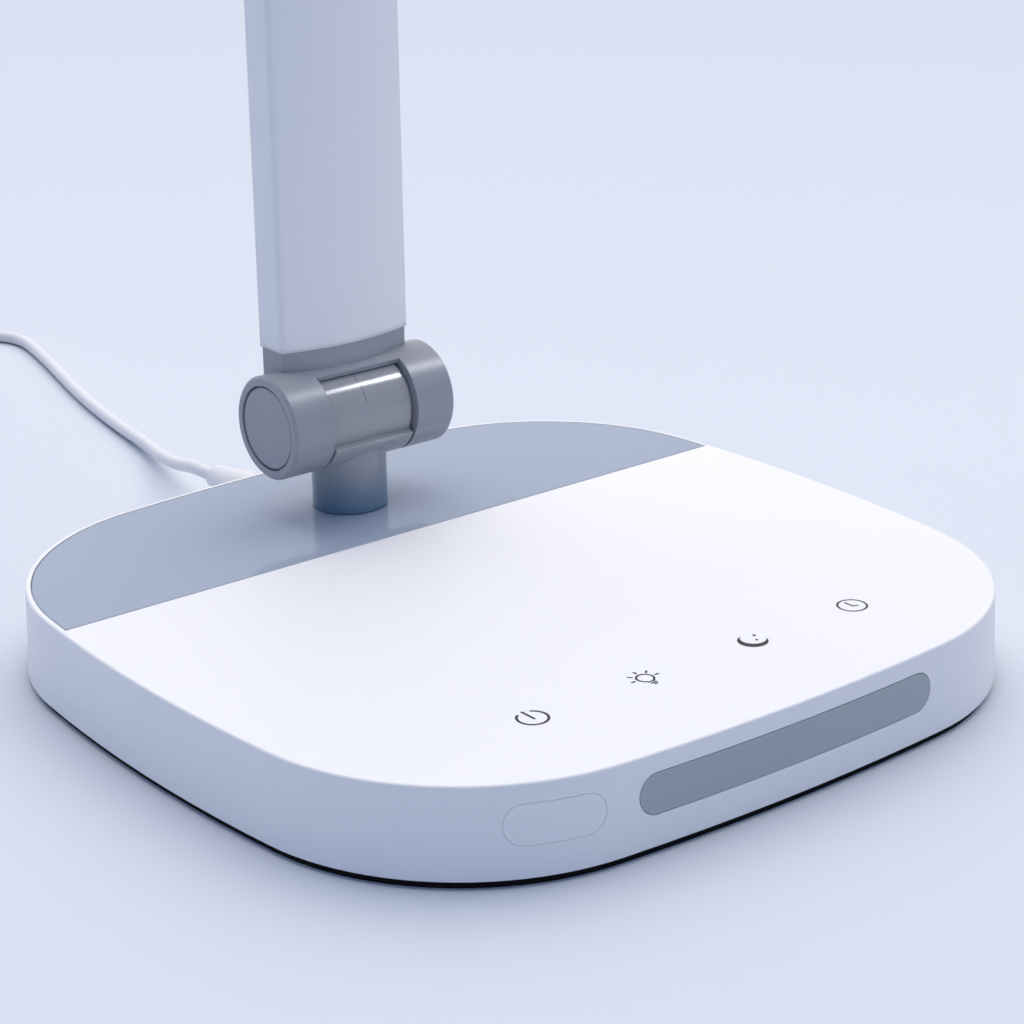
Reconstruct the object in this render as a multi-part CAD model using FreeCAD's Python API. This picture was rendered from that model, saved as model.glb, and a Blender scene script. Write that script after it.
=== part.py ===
import FreeCAD
import Part
import math
import os

V = FreeCAD.Vector
along_x = V(1, 0, 0)
along_y = V(0, 1, 0)
along_z = V(0, 0, 1)

# LED desk lamp. Millimetres, +Z up, front towards -Y.
# The origin is the middle of the base's underside, on the desk.

# Base housing
base_width = 190.0
base_depth = 184.0
front_bow = 550.0            # radius of the front and back edges
side_bow = 410.0             # radius of the left and right edges
corner_radius = 53.0
base_top = 21.5              # deck above the desk
pad_height = 1.9
pad_inset = 0.4              # pad's edge inside the deck's outline
wall_draft = 0.8             # the wall stands out this much more at its foot
wall = 2.4
deck = 3.4
deck_edge = 0.6              # rounding of the deck's rim
cover_thickness = 2.2
seam = 0.15                  # gap round a piece that is let in
seat = 0.05                  # gap between pieces that are drawn together
over = 1.0                   # cutters pass this far beyond what they cut

# Rear panel, let into the deck
panel_lead = 25.1            # its straight front edge, ahead of the neck
panel_rim = 1.2              # white rim left round it
panel_thickness = 1.6
panel_edge = 0.3

# Night light window and blanking plug in the wall
window_height = 8.9
window_gap = 7.77            # wall left between the window and the plug
port_length = 21.0
port_height = 8.7
port_turn = 19.7             # degrees that the plug looks to the left of the front
light_z = 12.95              # height of both middles
lens_lip = 1.6               # flange behind the wall, its width and thickness

# Screws and bosses
boss_radius = 3.5
screw_radius = 1.5
screw_head = 2.8
screw_head_height = 1.4
screw_length = 9.0
side_boss_inset = 15.0
side_boss_y = 10.0
front_boss_inset = (20.0, 50.0)
rear_boss_inset = (33.0, 24.0)
peg_radius = 1.2
peg_shoulder = 2.5           # radius of the step that carries a board
peg_tip = 0.5                # peg past its board
board = 1.6                  # thickness of a circuit board

# Things in the base
ballast_side = 32.0          # ballast plate's edge, inside the base's side
ballast_thickness = 5.5
touch_inset = 28.7           # touch keys behind the front edge
touch_pitch = 29.6
touch_count = 4
touch_pad_radius = 5.0
touch_pad_height = 3.0
touch_board_width = 22.0
touch_board_margin = 12.0    # board past the outer keys
light_board_gap = 6.5        # night light board behind its lens
light_board_height = 9.0
light_led_count = 6
led_side = 3.0
led_height = 1.2
rail_width = 6.0
rail_gap = 0.7               # between a rail and the LED next to it
driver_share = 0.41          # driver board's width in the base's
driver_rise = 1.2            # board above the cover
driver_lead = 15.0           # board's front edge, ahead of the neck
choke = (4.5, 5.0)           # radius and height
choke_core = (3.2, 1.0)
capacitor = (3.2, 6.5)
capacitor_back = 6.0         # behind the board's middle
chip = (6.0, 5.0, 1.7)
chip_ahead = 4.0             # ahead of the board's middle
diode = (4.4, 3.0, 2.1)

# Neck: round post, swivel in the deck, crossbar of the tilt hinge
neck_inset = 31.9            # neck's axis ahead of the back edge
post_radius = 9.0
foot_gap = 0.15              # post above the panel
spindle_radius = 7.0
wire_bore = 3.0
running_gap = 0.05
bush_wall = 2.0
bush_flange = 3.0
bush_flange_height = 1.5
stop_washer_height = 1.4
stop_reach = 4.5             # stop finger past the washer
stop_width = 4.0
stop_turn = 90.0             # the neck swivels this far to each side
stop_slack = 1.5             # degrees left at a stop
stop_clear = 1.0             # ribs outside the washer's rim
swivel_nut_height = 4.5
nut_notch = 2.4              # width of the notches in the nut's rim
nut_notch_depth = 1.2
nut_notches = 6

# Barrel hinges, alike at both ends of the arm
hinge_rise = 23.6            # lower axis above the deck
pivot_distance = 340.0       # from the lower axis to the upper one
barrel_radius = 12.35
barrel_half = 22.8
window_share = 0.522         # part of the barrel's length that is open between the ears
barrel_skin = 1.3            # thickness of the bridge over the crossbar
turn_gap = 0.35
shaft_radius = 3.0
shaft_head = 5.5
shaft_head_height = 2.5
hinge_washer = 0.8
hinge_washer_inset = 1.1     # washer's edge inside the crossbar's
cap_rim = 2.25               # rim of the ear round its cap
cap_groove = 0.4             # ring groove round the visible disc
cap_thickness = 1.7
cap_step = 0.8
cap_sink = 0.2
cap_ledge = 1.5              # step in the ear that carries the cap
ear_edge = 0.6               # rounding of the barrel's ends
spring_rise = 1.1
spring_thickness = 0.42
spring_hub = 1.0             # width of its flat round the shaft
spring_radius = 6.5
nut_flats = 10.0
nut_height = 2.8
nut_room = 0.7               # between the nut and the cap

# How far the hinges turn, in degrees. Angles round an axis start at the front and go up.
fold_forward = 90.0
lean_back = 30.0
lip_angle = -26.0            # top edge of the neck's front lip
bridge_back = 183.0          # rear edge of the bridge over the crossbar
head_fold = 90.0
head_lift = 45.0
tongue_back = 120.0          # rear edge of the head's cover over its crossbar

# Arm
arm_width = 36.0
arm_side = 9.3               # depth of the flat sides
arm_front_bow = 3.05
arm_rear_bow = 1.5
arm_set_back = 4.3           # arm's middle behind the hinge axis
arm_foot = 17.1              # arm's end above or below a hinge axis
arm_wall = 1.8
arm_edge = 0.8
collar_inset = 0.4
tenon_length = 24.0
tenon_gap = 0.1
arm_screw_x = 9.0
arm_screw_rise = 13.0

# Lamp head
head_width = 46.0
head_side = 8.0
head_crown = 3.0
fold_gap = 1.0               # between the folded head and the arm
head_fold_gap = 10.0         # folded head's tip above the lower barrel
head_corner = 12.0
head_edge = 0.8
head_collar_gap = 0.4        # collar's clearance from the barrel
head_collar = 8.0
head_socket = 22.0           # length of the tenon in the shell
head_socket_half = 16.0
head_socket_floor = 2.2
head_socket_height = 4.6
bezel = 2.0
ledge = 2.6
diffuser = 1.6
ceiling = 0.8                # ceiling of the light chamber below the shell's shoulder
led_board_thickness = 1.2
led_rows = 2
led_columns = 18
led_margin = 8.0
head_screw_x = 10.0
head_screw_length = 5.0

# Power plug, cord and its far plug
plug_z = 11.7
plug_end = 28.0              # plug behind the base's back edge
plug_radius = 4.9
plug_straight = 15.0
plug_tail_radius = 3.0
barrel_pin = 2.75
barrel_length = 9.5
socket_gap = 0.25
socket_width = 12.0
socket_depth = 11.0
cord_radius = 1.75
cord_sides = 8
desk_gap = 0.05              # cord above the desk
bend_share = 0.45            # part of a run that its bend takes
coil_radius = 19.3           # middle of the turns
coil_turns = 10.25
coil_gap = 0.7               # between turns, sideways and upwards
last_run = 13.0              # straight run into the coil
coil_heading = 63.0          # degrees round the coil where the cord comes in
tail_length = 20.0
tie_thickness = 0.6
tie_width = 9.0
tie_gap = 0.3
tie_turn = 250.0
usb_body = (27.0, 15.6, 8.2)
usb_shell = (18.6, 12.0, 4.5)
usb_sheet = 0.4
usb_taper = 9.0
usb_throat = 0.8             # moulding round the cord
usb_tongue_back = 2.0        # tongue behind the shell's mouth
usb_edge = 1.6

# Places that follow from the sizes
neck_y = base_depth / 2 - neck_inset
deck_under = base_top - deck
floor_in = pad_height + cover_thickness
panel_front = neck_y - panel_lead
hinge_z = base_top + hinge_rise
head_z = hinge_z + pivot_distance
arm_y = neck_y + arm_set_back
arm_bottom = hinge_z + arm_foot
arm_top = head_z - arm_foot
touch_y = touch_inset - base_depth / 2
crossbar_radius = barrel_radius - barrel_skin - turn_gap
hinge_washer_radius = crossbar_radius - hinge_washer_inset
cap_radius = barrel_radius - cap_rim
web_bore = cap_radius - cap_ledge
window_half = barrel_half * window_share
crossbar_half = window_half - hinge_washer - seat
ear_floor = barrel_half - cap_sink - cap_thickness - nut_room - nut_height - 2 * spring_rise
led_face = arm_side / 2 + arm_front_bow - arm_set_back + fold_gap
head_under = head_z + led_face
chamber_height = head_side - ceiling
head_reach = pivot_distance - barrel_radius - head_fold_gap
head_root = neck_y - barrel_radius - head_collar_gap
shell_root = head_root - head_collar
head_tip = neck_y - head_reach
plug_tail = base_depth / 2 + plug_end
coil_pitch = 2 * cord_radius + coil_gap
lie_z = cord_radius + desk_gap
coil_z = tie_thickness + tie_gap + cord_radius


def box(x0, x1, y0, y1, z0, z1):
    return Part.makeBox(x1 - x0, y1 - y0, z1 - z0, V(x0, y0, z0))


def rod(radius, start, end):
    return Part.makeCylinder(radius, (end - start).Length, start, end - start)


def rod_x(radius, x0, x1, z):
    return rod(radius, V(x0, neck_y, z), V(x1, neck_y, z))


def rod_z(radius, x, y, z0, z1):
    return rod(radius, V(x, y, z0), V(x, y, z1))


def arc(a, b, c):
    return Part.Arc(a, b, c).toShape()


def line(a, b):
    return Part.LineSegment(a, b).toShape()


def prism(wire, rise):
    return Part.Face(wire).extrude(rise)


def joined(shapes):
    first, *rest = shapes
    return first.fuse(rest).removeSplitter() if rest else first


def group(shapes):
    return Part.makeCompound(shapes)


# Base outline

def corner_centre():
    # The corner arc touches the front bow and the side bow from inside.
    front = V(0, front_bow - base_depth / 2, 0)
    side = V(base_width / 2 - side_bow, 0, 0)
    gap = side - front
    reach_front = front_bow - corner_radius
    reach_side = side_bow - corner_radius
    share = (reach_front ** 2 - reach_side ** 2 + gap.Length ** 2) / (2 * gap.Length)
    offset = math.sqrt(reach_front ** 2 - share ** 2)
    unit = gap / gap.Length
    return front, side, front + unit * share + V(-unit.y, unit.x, 0) * offset


def outline(inset, z):
    # Eight arcs; every inset keeps their centres and shortens their radii.
    front, side, corner = corner_centre()
    to_corner = (corner - front).normalize()
    to_side = (corner - side).normalize()
    touch_front = front + to_corner * (front_bow - inset)
    touch_side = side + to_side * (side_bow - inset)
    middle = corner + (to_corner + to_side).normalize() * (corner_radius - inset)
    front_middle = V(0, inset - base_depth / 2, 0)
    side_middle = V(base_width / 2 - inset, 0, 0)

    def at(p, sx, sy):
        return V(p.x * sx, p.y * sy, z)

    edges = [
        arc(at(touch_front, -1, 1), at(front_middle, 1, 1), at(touch_front, 1, 1)),
        arc(at(touch_front, 1, 1), at(middle, 1, 1), at(touch_side, 1, 1)),
        arc(at(touch_side, 1, 1), at(side_middle, 1, 1), at(touch_side, 1, -1)),
        arc(at(touch_side, 1, -1), at(middle, 1, -1), at(touch_front, 1, -1)),
        arc(at(touch_front, 1, -1), at(front_middle, 1, -1), at(touch_front, -1, -1)),
        arc(at(touch_front, -1, -1), at(middle, -1, -1), at(touch_side, -1, -1)),
        arc(at(touch_side, -1, -1), at(side_middle, -1, 1), at(touch_side, -1, 1)),
        arc(at(touch_side, -1, 1), at(middle, -1, 1), at(touch_front, -1, 1)),
    ]
    return Part.Wire(edges)


def slab(inset, z0, z1):
    return prism(outline(inset, z0), along_z * (z1 - z0))


def top_edges(shape, z):
    return [e for e in shape.Edges if min(v.Z for v in e.Vertexes) > z - 1e-4]


def base_block():
    foot = outline(-wall_draft, pad_height)
    block = Part.makeLoft([foot, outline(0, base_top)], True, True)
    return block.makeFillet(deck_edge, top_edges(block, base_top))


def boss_places():
    places = []
    for side in (-1, 1):
        places.append((side * (base_width / 2 - side_boss_inset), side_boss_y))
        places.append((side * (base_width / 2 - front_boss_inset[0]), front_boss_inset[1] - base_depth / 2))
        places.append((side * (base_width / 2 - rear_boss_inset[0]), base_depth / 2 - rear_boss_inset[1]))
    return places


def touch_places():
    first = -touch_pitch * (touch_count - 1) / 2
    return [first + touch_pitch * i for i in range(touch_count)]


def slot(length, height, spread, x):
    # A cutter with round ends that passes through the front wall.
    half = length / 2 - height / 2
    radius = height / 2 + spread
    front, back = -base_depth / 2 - 3 * wall, -base_depth / 2 + 5 * wall
    left, right = V(x - half, front, light_z), V(x + half, front, light_z)
    up, out = V(0, 0, radius), V(radius, 0, 0)
    wire = Part.Wire([
        line(left + up, right + up),
        arc(right + up, right + out, right - up),
        line(right - up, left - up),
        arc(left - up, left - out, left + up),
    ])
    return prism(wire, V(0, back - front, 0))


def window_length():
    # The plug sits on the corner's arc; the window ends short of it and is alike on both sides.
    turn = math.radians(port_turn)
    plug_end_x = corner_centre()[2].x + corner_radius * math.sin(turn) - port_length / 2 * math.cos(turn)
    return 2 * (plug_end_x - window_gap)


def window_slot(spread):
    return slot(window_length(), window_height, spread, 0)


def port_slot(spread):
    # The blanking plug looks out of the front left corner, square to its arc.
    corner = corner_centre()[2]
    cutter = slot(port_length, port_height, spread, -corner.x)
    cutter.rotate(V(-corner.x, corner.y, 0), along_z, -port_turn)
    return cutter


def wall_piece(cutter, flange_cutter):
    # A piece that fills a hole in the wall, flush outside, with a flange behind the wall.
    flange_in = slab(wall + lens_lip, pad_height, base_top)
    plug = cutter.common(base_block()).cut(flange_in)
    flange = flange_cutter.common(slab(wall + seat, floor_in, deck_under)).cut(flange_in)
    return joined([plug, flange])


def base_shell():
    shell = base_block().cut(slab(wall, pad_height - over, deck_under))
    panel_floor = base_top - panel_thickness
    recess = slab(panel_rim, panel_floor, base_top + over)
    rear = box(-base_width, base_width, panel_front, base_depth, 0, base_top + over)
    shell = shell.cut(recess.common(rear))
    bosses = [rod_z(boss_radius, x, y, floor_in, deck_under) for x, y in boss_places()]
    board_top = deck_under - touch_pad_height
    peg_end = board_top - board - peg_tip
    steps = [rod_z(peg_shoulder, x, touch_y, board_top, deck_under) for x in touch_peg_places()]
    pegs = [rod_z(peg_radius, x, touch_y, peg_end, deck_under) for x in touch_peg_places()]
    shell = joined([shell] + bosses + steps + pegs + stop_ribs())
    pilots = [rod_z(screw_radius, x, y, pad_height, pad_height + screw_length) for x, y in boss_places()]
    holes = [rod_z(spindle_radius + running_gap + bush_wall + seat, 0, neck_y, deck_under - over, base_top)]
    holes.append(rod(barrel_pin + 2 * socket_gap, V(0, 0, plug_z), V(0, base_depth, plug_z)))
    shell = shell.cut(pilots + [window_slot(0), port_slot(0)] + holes)
    return shell


def stop_ribs():
    # Two ribs under the deck stop the finger of the swivel washer.
    reach = spindle_radius + bush_wall + bush_flange + stop_reach
    finger = math.degrees(stop_width / 2 / (reach - stop_reach))
    ribs = []
    for side in (-1, 1):
        rib = box(-stop_width / 2, stop_width / 2, reach - stop_reach + stop_clear, reach + stop_clear,
                  deck_under - bush_flange_height - stop_washer_height, deck_under)
        rib.translate(V(0, neck_y, 0))
        rib.rotate(V(0, neck_y, 0), along_z, side * (stop_turn + 2 * finger + stop_slack))
        ribs.append(rib)
    return ribs


def touch_peg_places():
    places = touch_places()
    return [(a + b) / 2 for a, b in (places[:2], places[-2:])]


def rear_panel():
    floor_z = base_top - panel_thickness
    cut_front = box(-base_width, base_width, panel_front + seam, base_depth, 0, base_top + over)
    panel = slab(panel_rim + seam, floor_z, base_top).common(cut_front)
    panel = panel.makeChamfer(panel_edge, top_edges(panel, base_top))
    return panel.cut(rod_z(spindle_radius + turn_gap, 0, neck_y, floor_z, base_top))


def antislip_pad():
    return slab(pad_inset, 0, pad_height)


def screw(start, way, length):
    # Countersunk screw, its head's face at the start.
    side = V(way.y, way.z, way.x)
    shank = screw_radius - seat
    profile = [start, start + side * screw_head, start + way * screw_head_height + side * shank,
               start + way * length + side * shank, start + way * length]
    return Part.Face(Part.makePolygon(profile + profile[:1])).revolve(start, way, 360)


def base_screws():
    heads = [V(x, y, pad_height + seat) for x, y in boss_places()]
    return group([screw(head, along_z, screw_length - 2 * seat) for head in heads])


def bottom_cover():
    cover = slab(wall + seam, pad_height, floor_in)
    sinks = []
    for x, y in boss_places():
        foot = V(x, y, pad_height)
        sinks.append(Part.makeCone(screw_head + seat, screw_radius, screw_head_height, foot, along_z))
        sinks.append(rod_z(screw_radius, x, y, pad_height, floor_in))
    ups = []
    for x, y in driver_pegs():
        ups.append(rod_z(peg_shoulder, x, y, floor_in, floor_in + driver_rise))
        ups.append(rod_z(peg_radius, x, y, floor_in, floor_in + driver_rise + board + peg_tip))
    for x, y in ballast_pegs():
        ups.append(rod_z(peg_radius, x, y, floor_in, floor_in + ballast_thickness))
    for x in light_rail_places():
        ups.append(light_rail(x))
    return joined([cover.cut(sinks)] + ups)


def ballast_box():
    half = base_width / 2 - ballast_side
    front = touch_y + touch_board_width / 2 + peg_shoulder
    back = neck_y - driver_lead - 2 * peg_shoulder
    return half, front, back


def ballast_pegs():
    half, front, back = ballast_box()
    middle = (front + back) / 2
    return [(-half / 2, middle), (half / 2, middle)]


def ballast_plate():
    half, front, back = ballast_box()
    plate = box(-half, half, front, back, floor_in, floor_in + ballast_thickness)
    upright = [e for e in plate.Edges if abs(e.tangentAt(e.FirstParameter).z) > 0.5]
    plate = plate.makeFillet(2 * ballast_thickness, upright)
    holes = [rod_z(peg_radius + seam, x, y, floor_in, base_top) for x, y in ballast_pegs()]
    return plate.cut(holes)


def touch_board():
    half = touch_places()[-1] + touch_board_margin
    top = deck_under - touch_pad_height
    front, back = touch_y - touch_board_width / 2, touch_y + touch_board_width / 2
    plate = box(-half, half, front, back, top - board, top)
    return plate.cut([rod_z(peg_radius + seat, x, touch_y, 0, top) for x in touch_peg_places()])


def touch_pads():
    top = deck_under
    return group([rod_z(touch_pad_radius, x, touch_y, top - touch_pad_height, top) for x in touch_places()])


def light_board_y():
    return wall + lens_lip + light_board_gap - base_depth / 2


def light_rail_places():
    half = window_length() / 2 - window_height
    return [-half, half]


def light_rail(x):
    y = light_board_y()
    top = light_z + light_board_height / 4
    rail = box(x - rail_width / 2, x + rail_width / 2, y - board, y + 2 * board, floor_in, top)
    low = light_z - light_board_height / 2
    return rail.cut(box(x - rail_width, x + rail_width, y - seat, y + board + seat, low, top))


def night_light_board():
    half = window_length() / 2
    y = light_board_y()
    low = light_z - light_board_height / 2
    return box(-half, half, y, y + board, low, low + light_board_height)


def night_light_leds():
    y = light_board_y()
    outer = light_rail_places()[1] - rail_width / 2 - rail_gap - led_side / 2
    leds = []
    for i in range(light_led_count):
        x = outer * (2 * i / (light_led_count - 1) - 1)
        leds.append(box(x - led_side / 2, x + led_side / 2, y - led_height, y,
                        light_z - led_side / 2 + board, light_z + led_side / 2 + board))
    return group(leds)


def driver_box():
    half = base_width * driver_share / 2
    back = base_depth / 2 - wall - 2 * peg_radius
    return -half, half, neck_y - driver_lead, back


def driver_pegs():
    x0, x1, y0, y1 = driver_box()
    inset = 2 * peg_shoulder
    return [(x, y) for x in (x0 + inset, x1 - inset) for y in (y0 + inset, y1 - inset)]


def driver_board():
    z = floor_in + driver_rise
    x0, x1, y0, y1 = driver_box()
    plate = box(x0, x1, y0, y1, z, z + board)
    room = spindle_radius + bush_wall + bush_flange + board
    notch = rod_z(room, 0, neck_y, 0, base_top).fuse(box(-room, room, 0, neck_y, 0, base_top))
    return plate.cut([notch] + [rod_z(peg_radius + seat, x, y, 0, base_top) for x, y in driver_pegs()])


def driver_parts():
    # Choke, capacitor and converter chips beside the swivel nut.
    z = floor_in + driver_rise + board
    x0, x1, y0, y1 = driver_box()
    side = (x1 - x0) / 4
    middle = (y0 + y1) / 2
    choke_top = z + choke[1]
    wound = rod_z(choke[0], -side, middle, z, choke_top)
    wound = wound.fuse(rod_z(choke_core[0], -side, middle, choke_top, choke_top + choke_core[1]))
    can = rod_z(capacitor[0], side, middle + capacitor_back, z, z + capacitor[1])
    chip_back = middle - chip_ahead
    converter = box(side - chip[0] / 2, side + chip[0] / 2, chip_back - chip[1], chip_back, z, z + chip[2])
    diode_front = y0 + diode[1]
    diode_back = diode_front + diode[1]
    rectifier = box(-side - diode[0] / 2, -side + diode[0] / 2, diode_front, diode_back, z, z + diode[2])
    return group([wound, can, converter, rectifier])


def dc_socket():
    back = base_depth / 2 - wall - seam
    z0 = floor_in + driver_rise + board
    top = plug_z + socket_width / 2 - board
    block = box(-socket_width / 2, socket_width / 2, back - socket_depth, back, z0, top)
    bore = rod(barrel_pin + socket_gap, V(0, back - barrel_length - seam, plug_z), V(0, back, plug_z))
    return block.cut(bore)


# Swivel

def swivel_bush():
    bore = spindle_radius + running_gap
    top = base_top - panel_thickness
    sleeve = rod_z(bore + bush_wall, 0, neck_y, deck_under - bush_flange_height, top)
    flange = rod_z(bore + bush_wall + bush_flange, 0, neck_y, deck_under - bush_flange_height, deck_under)
    return joined([sleeve, flange]).cut(rod_z(bore, 0, neck_y, 0, base_top))


def washer_top():
    return deck_under - bush_flange_height - 2 * seat


def swivel_washer():
    # Spring washer with the finger that meets the stop ribs; it turns with the neck.
    top = washer_top()
    low = top - stop_washer_height
    rim = spindle_radius + bush_wall + bush_flange
    ring = rod_z(rim, 0, neck_y, low, top)
    finger = box(-stop_width / 2, stop_width / 2, neck_y, neck_y + rim + stop_reach, low, top)
    return joined([ring, finger]).cut(rod_z(spindle_radius + seat, 0, neck_y, 0, base_top))


def swivel_nut():
    top = washer_top() - stop_washer_height
    rim = spindle_radius + bush_wall + bush_flange / 2
    ring = rod_z(rim, 0, neck_y, top - swivel_nut_height, top)
    notches = []
    for i in range(nut_notches):
        notch = box(-nut_notch / 2, nut_notch / 2, rim - nut_notch_depth, rim + over, 0, base_top)
        notch.translate(V(0, neck_y, 0))
        notch.rotate(V(0, neck_y, 0), along_z, 360 * i / nut_notches)
        notches.append(notch)
    return ring.cut(notches).cut(rod_z(spindle_radius + seat, 0, neck_y, 0, base_top))


# Barrel hinges

def round_axis(angle, radius, x, z):
    turn = math.radians(angle)
    return V(x, neck_y - radius * math.cos(turn), z + radius * math.sin(turn))


def sector(r0, r1, start, end, half, z):
    # Part of a ring round a hinge axis, between two angles.
    middle = (start + end) / 2

    def at(angle, radius):
        return round_axis(angle, radius, -half, z)

    wire = Part.Wire([
        arc(at(start, r1), at(middle, r1), at(end, r1)),
        line(at(end, r1), at(end, r0)),
        arc(at(end, r0), at(middle, r0), at(start, r0)),
        line(at(start, r0), at(start, r1)),
    ])
    return prism(wire, along_x * (2 * half))


def arm_section(inset, z):
    half = arm_width / 2
    front_radius = (half ** 2 + arm_front_bow ** 2) / (2 * arm_front_bow)
    rear_radius = (half ** 2 + arm_rear_bow ** 2) / (2 * arm_rear_bow)
    front_centre = arm_y - arm_side / 2 - arm_front_bow + front_radius
    rear_centre = arm_y + arm_side / 2 + arm_rear_bow - rear_radius
    half -= inset
    front_radius -= inset
    rear_radius -= inset
    front = front_centre - math.sqrt(front_radius ** 2 - half ** 2)
    rear = rear_centre + math.sqrt(rear_radius ** 2 - half ** 2)
    return Part.Wire([
        arc(V(-half, front, z), V(0, front_centre - front_radius, z), V(half, front, z)),
        line(V(half, front, z), V(half, rear, z)),
        arc(V(half, rear, z), V(0, rear_centre + rear_radius, z), V(-half, rear, z)),
        line(V(-half, rear, z), V(-half, front, z)),
    ])


def arm_bar(inset, z0, z1):
    return prism(arm_section(inset, min(z0, z1)), along_z * abs(z1 - z0))


def rounded_bar(inset, z0, z1):
    bar = arm_bar(inset, z0, z1)
    upright = [e for e in bar.Edges if abs(e.tangentAt(e.FirstParameter).z) > 0.5]
    return bar.makeFillet(arm_edge, upright)


def ear(side, z):
    barrel = rod_x(barrel_radius, side * window_half, side * barrel_half, z)
    rim = [e for e in barrel.Edges if abs(abs(e.CenterOfMass.x) - barrel_half) < 1e-3]
    return barrel.makeChamfer(ear_edge, rim)


def knuckle(z, up, start, end):
    # Two ears and the bridge between them, the collar under the arm and the tenon inside it.
    # up is 1 for the knuckle at the arm's foot and -1 for the one at its top.
    hollow = rod_x(crossbar_radius + turn_gap, -window_half, window_half, z)
    ears = [ear(side, z) for side in (-1, 1)]
    bridge = sector(crossbar_radius + turn_gap, barrel_radius, start, end, window_half, z)
    collar = rounded_bar(collar_inset, z + up * barrel_radius / 2, z + up * arm_foot).cut(hollow)
    tenon = arm_bar(arm_wall + tenon_gap, z + up * arm_foot, z + up * (arm_foot + tenon_length))
    body = joined(ears + [bridge, collar, tenon])
    wires = rod_z(wire_bore, 0, arm_y, z, z + up * (arm_foot + tenon_length))
    if up < 0:
        wires = rod_z(wire_bore, 0, arm_y, z - arm_foot - tenon_length, z)
    cuts = [wires, rod_x(shaft_radius + running_gap, -barrel_half, barrel_half, z)]
    for side in (-1, 1):
        cuts.append(rod_x(web_bore, side * ear_floor, side * barrel_half, z))
        cap_floor = barrel_half - cap_sink - cap_thickness
        cuts.append(rod_x(cap_radius + seat, side * cap_floor, side * barrel_half, z))
    cuts += [arm_screw_hole(x, z + up * (arm_foot + arm_screw_rise)) for x in (-arm_screw_x, arm_screw_x)]
    return body.cut(cuts)


def lower_knuckle():
    return knuckle(hinge_z, 1, lip_angle + fold_forward + stop_slack, bridge_back)


def upper_knuckle():
    front = tongue_front() - head_fold - stop_slack
    back = tongue_back + head_lift + stop_slack - 360
    return knuckle(head_z, -1, back, front)


def tongue_front():
    return math.degrees(math.asin(led_face / barrel_radius))


def crossbar(z, start, end):
    # The bar between the ears, with the part of the barrel's skin that stays with it.
    bar = rod_x(crossbar_radius, -crossbar_half, crossbar_half, z)
    skin = sector(crossbar_radius - over, barrel_radius, start, end, window_half - turn_gap, z)
    return [bar, skin.common(rod_x(barrel_radius + over, -crossbar_half, crossbar_half, z))]


def neck():
    lip_back = bridge_back + lean_back + stop_slack - 360
    post = rod_z(post_radius, 0, neck_y, base_top + foot_gap, hinge_z)
    low = washer_top() - stop_washer_height - swivel_nut_height
    spindle = rod_z(spindle_radius, 0, neck_y, low - seam, base_top + foot_gap)
    body = joined(crossbar(hinge_z, lip_back, lip_angle) + [post, spindle])
    wires = rod_z(wire_bore, 0, neck_y, 0, hinge_z - shaft_radius)
    return body.cut([wires, rod_x(shaft_radius + running_gap, -barrel_half, barrel_half, hinge_z)])


def hinge_shaft(z):
    end = ear_floor + 2 * spring_rise + nut_height
    pin = rod_x(shaft_radius, -ear_floor, end, z)
    head = rod_x(shaft_head, -ear_floor - shaft_head_height, -ear_floor, z)
    return joined([pin, head])


def hinge_washers(z):
    rings = []
    for side in (-1, 1):
        ring = rod_x(hinge_washer_radius, side * (window_half - hinge_washer), side * window_half, z)
        rings.append(ring.cut(rod_x(shaft_radius + seat, -barrel_half, barrel_half, z)))
    return group(rings)


def hinge_springs(z):
    # Two cupped washers, rim to rim under the nut.
    springs = []
    for flip in (0, 1):
        rim = ear_floor + spring_rise
        hub = rim + (spring_rise if flip else -spring_rise)
        thick = spring_thickness if flip else -spring_thickness
        bore = shaft_radius + seat

        def at(x, radius):
            return V(x, neck_y, z + radius)

        points = [at(rim, spring_radius), at(rim + thick, spring_radius), at(hub, bore + spring_hub),
                  at(hub, bore), at(hub - thick, bore)]
        wire = Part.makePolygon(points + points[:1])
        springs.append(Part.Face(wire).revolve(V(0, neck_y, z), along_x, 360))
    return group(springs)


def hinge_nut(z):
    start = ear_floor + 2 * spring_rise
    corner = nut_flats / math.sqrt(3)
    points = []
    for i in range(7):
        points.append(round_axis(60 * i, corner, start, z))
    nut = prism(Part.makePolygon(points), along_x * nut_height)
    return nut.cut(rod_x(shaft_radius + seat, 0, barrel_half, z))


def hinge_cap(z, side):
    face = barrel_half - cap_sink
    seat_x = face - cap_thickness
    disc = rod_x(cap_radius - cap_groove, side * seat_x, side * face, z)
    flange = rod_x(cap_radius, side * seat_x, side * (seat_x + cap_step), z)
    rim = [e for e in disc.Edges if abs(abs(e.CenterOfMass.x) - face) < 1e-3]
    return joined([disc.makeChamfer(cap_sink, rim), flange])


# Arm

def arm_tube():
    tube = rounded_bar(0, arm_bottom, arm_top).cut(arm_bar(arm_wall, arm_bottom, arm_top))
    holes = []
    for z in (arm_bottom + arm_screw_rise, arm_top - arm_screw_rise):
        holes += [arm_screw_hole(x, z) for x in (-arm_screw_x, arm_screw_x)]
    return tube.cut(holes)


def arm_back(x):
    radius = ((arm_width / 2) ** 2 + arm_rear_bow ** 2) / (2 * arm_rear_bow)
    return arm_y + arm_side / 2 + arm_rear_bow - radius + math.sqrt(radius ** 2 - x ** 2)


def arm_screw_hole(x, z):
    face = arm_back(x)
    cone = Part.makeCone(screw_head + seat, screw_radius, screw_head_height, V(x, face, z), -along_y)
    mouth = rod(screw_head + seat, V(x, face, z), V(x, face + arm_rear_bow, z))
    return joined([cone, mouth, rod(screw_radius, V(x, face, z), V(x, face - screw_length, z))])


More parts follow.
